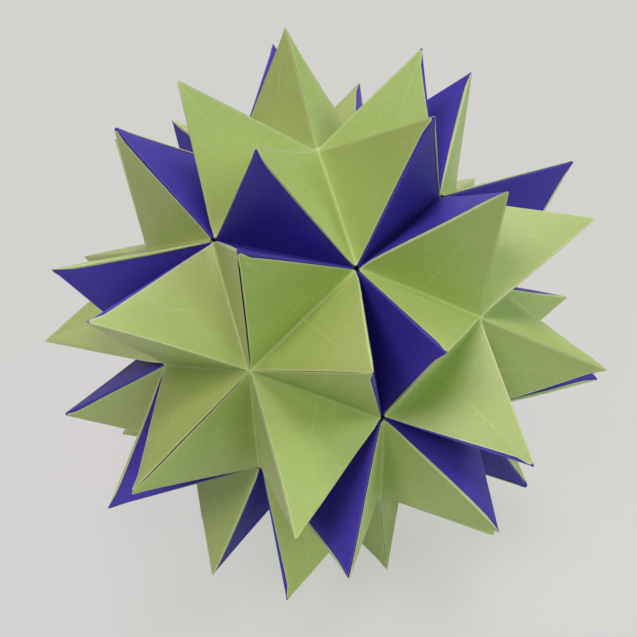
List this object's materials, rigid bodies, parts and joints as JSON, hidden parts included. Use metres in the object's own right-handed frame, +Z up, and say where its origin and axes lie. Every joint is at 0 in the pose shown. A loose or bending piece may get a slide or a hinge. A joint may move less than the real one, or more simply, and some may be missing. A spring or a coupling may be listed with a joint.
{
  "type": "kusudama paper ball",
  "caption": "Ornamental ball of folded two-colour paper units, locked tab in pocket into concave pointed flowers with dark grooves between them. It stands on its petal tips.",
  "frame": {"origin": "under the ball's middle, at the level of the tips that it stands on", "axes": "+Z up, along the axis through the hearts of the top and bottom flowers; the picture looks along +Y"},
  "size_m": [0.1445, 0.1496, 0.1378],
  "materials": {
    "two_colour_paper": "matte"
  },
  "bodies": {
    "root": {"crown_unit_1": "two_colour_paper", "crown_unit_2": "two_colour_paper", "crown_unit_3": "two_colour_paper", "crown_unit_4": "two_colour_paper", "crown_unit_5": "two_colour_paper", "shoulder_unit_1": "two_colour_paper", "shoulder_unit_2": "two_colour_paper", "shoulder_unit_3": "two_colour_paper", "shoulder_unit_4": "two_colour_paper", "shoulder_unit_5": "two_colour_paper", "waist_unit_1": "two_colour_paper", "waist_unit_2": "two_colour_paper", "waist_unit_3": "two_colour_paper", "waist_unit_4": "two_colour_paper", "waist_unit_5": "two_colour_paper", "waist_unit_6": "two_colour_paper", "waist_unit_7": "two_colour_paper", "waist_unit_8": "two_colour_paper", "waist_unit_9": "two_colour_paper", "waist_unit_10": "two_colour_paper", "hip_unit_1": "two_colour_paper", "hip_unit_2": "two_colour_paper", "hip_unit_3": "two_colour_paper", "hip_unit_4": "two_colour_paper", "hip_unit_5": "two_colour_paper", "base_unit_1": "two_colour_paper", "base_unit_2": "two_colour_paper", "base_unit_3": "two_colour_paper", "base_unit_4": "two_colour_paper", "base_unit_5": "two_colour_paper"}
  },
  "joints": []
}
